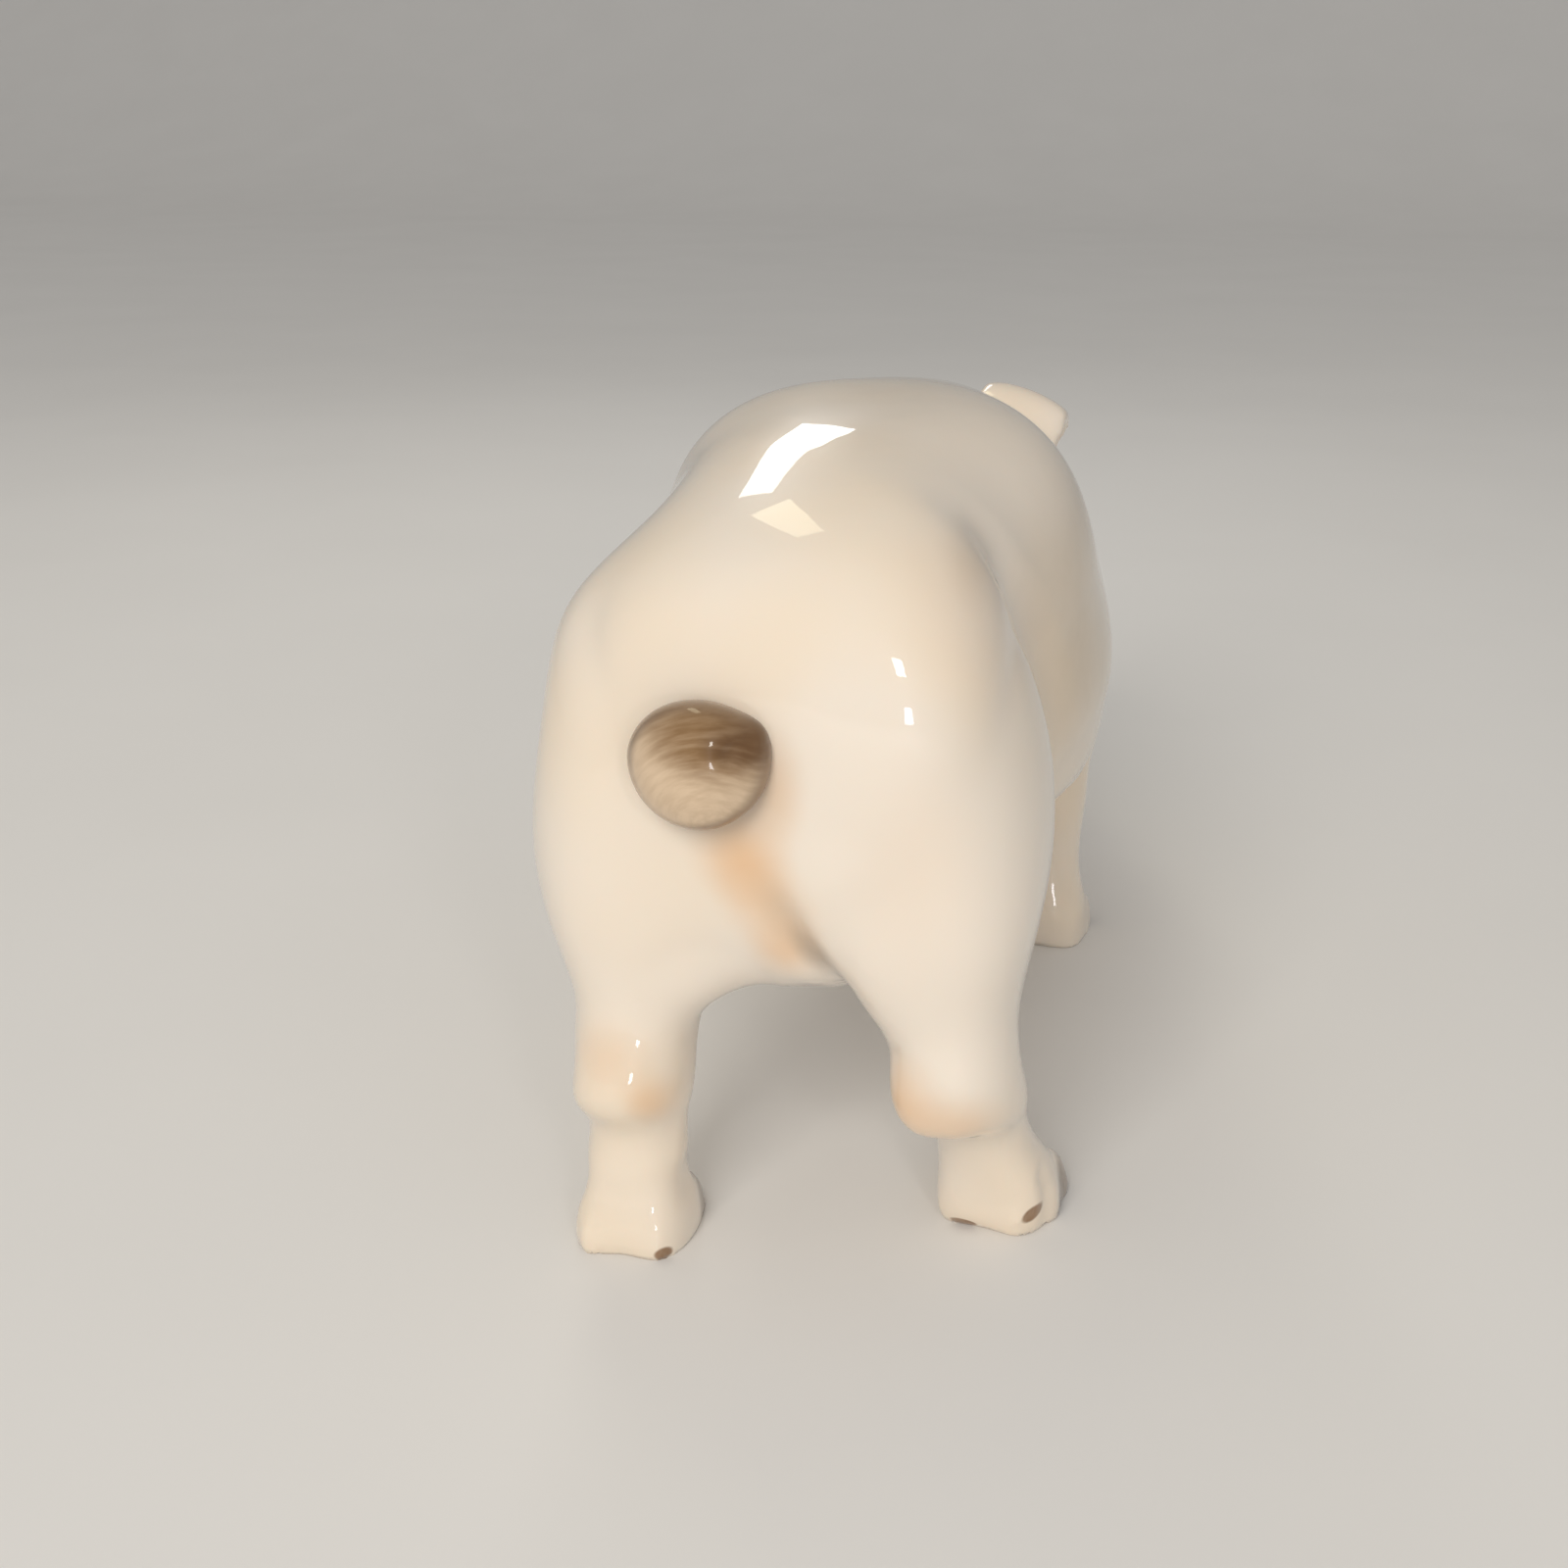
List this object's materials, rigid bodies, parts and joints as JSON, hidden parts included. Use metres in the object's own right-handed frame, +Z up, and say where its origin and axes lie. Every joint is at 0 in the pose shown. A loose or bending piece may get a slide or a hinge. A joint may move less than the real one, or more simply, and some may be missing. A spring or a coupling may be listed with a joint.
{
  "type": "pig figurine",
  "caption": "Glazed porcelain pig standing in mid-step, with folded ears, split hooves, a flat snout disc and a tail curled against the rump.",
  "frame": {"origin": "on the ground under the feet, at the middle of the whole pig's length and width", "axes": "+Z up, the pig faces -Y, its left side is +X"},
  "size_m": [0.0483, 0.1344, 0.0724],
  "materials": {
    "body_glaze": "glossy clear glaze over cream, with peach and grey airbrushed tints",
    "tail_glaze": "glossy clear glaze over brown brushwork"
  },
  "bodies": {
    "root": {"trunk": "body_glaze", "head": "body_glaze", "rear_left_leg": "body_glaze", "rear_right_leg": "body_glaze", "front_left_leg": "body_glaze", "front_right_leg": "body_glaze", "left_ear": "body_glaze", "right_ear": "body_glaze", "tail": "tail_glaze"}
  },
  "joints": []
}
